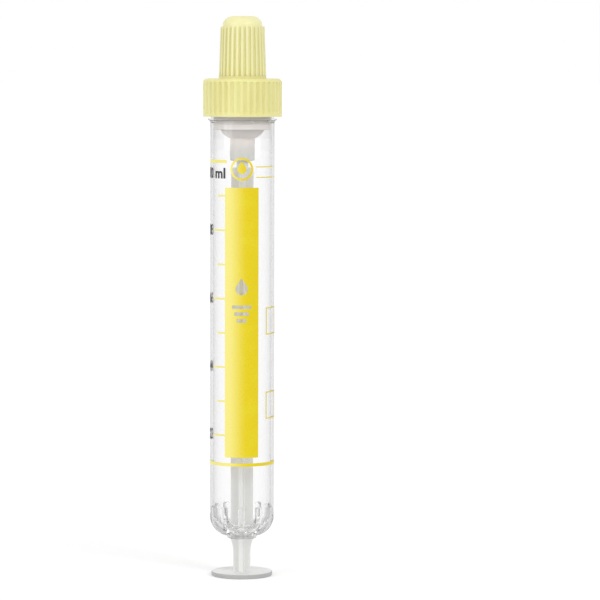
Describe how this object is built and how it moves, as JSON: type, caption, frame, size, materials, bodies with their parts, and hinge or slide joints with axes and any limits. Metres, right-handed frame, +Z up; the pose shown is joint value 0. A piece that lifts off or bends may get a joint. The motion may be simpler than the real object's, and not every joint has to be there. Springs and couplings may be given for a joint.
{
  "type": "plunger specimen tube",
  "caption": "Slim clear specimen tube with a rounded base, a piston on a cross-shaped rod with a round foot, a fluted screw cap and a ribbed domed tip cap.",
  "frame": {"origin": "centre of the underside of the foot disc of the piston rod", "axes": "+Z up along the axis of the tube, towards the caps; -Y is the front, where the colour strip is printed"},
  "size_m": [0.0174, 0.0174, 0.124],
  "materials": {
    "rod_plastic": "white moulded plastic, slightly translucent",
    "piston_plastic": "milky translucent moulded plastic, warm white",
    "clear_plastic": "clear moulded plastic, gloss",
    "yellow_ink": "opaque yellow screen print",
    "seal_foam": "white soft sealing ring",
    "cap_plastic": "pale yellow moulded plastic, satin"
  },
  "bodies": {
    "rod": {"piston_rod": "rod_plastic"},
    "piston": {"piston": "piston_plastic"},
    "barrel": {"barrel": "clear_plastic", "colour_strip": "yellow_ink", "scale_print": "yellow_ink"},
    "seal": {"sealing_ring": "seal_foam"},
    "screw_cap": {"screw_cap": "cap_plastic"},
    "tip_cap": {"tip_cap": "cap_plastic"}
  },
  "joints": [
    {"name": "rod_turn", "type": "hinge", "parent": "rod", "child": "piston", "pos_m": [0, 0, 0.0935], "axis": [0, 0, 1], "continuous": true},
    {"name": "draw", "type": "slide", "parent": "piston", "child": "barrel", "axis": [0, 0, 1], "range_m": [0, 0.0833]},
    {"name": "cap_lift", "type": "slide", "parent": "barrel", "child": "seal", "axis": [0, 0, 1], "range_m": [0, 0.015]},
    {"name": "cap_turn", "type": "hinge", "parent": "seal", "child": "screw_cap", "pos_m": [0, 0, 0.1093], "axis": [0, 0, 1], "range_deg": [0, 1800]},
    {"name": "tip_cap_pull", "type": "slide", "parent": "screw_cap", "child": "tip_cap", "axis": [0, 0, 1], "range_m": [0, 0.014]}
  ],
  "couplings": [
    {"joint": "cap_turn", "follows": "cap_lift", "rad_per_m": 2094.4}
  ]
}
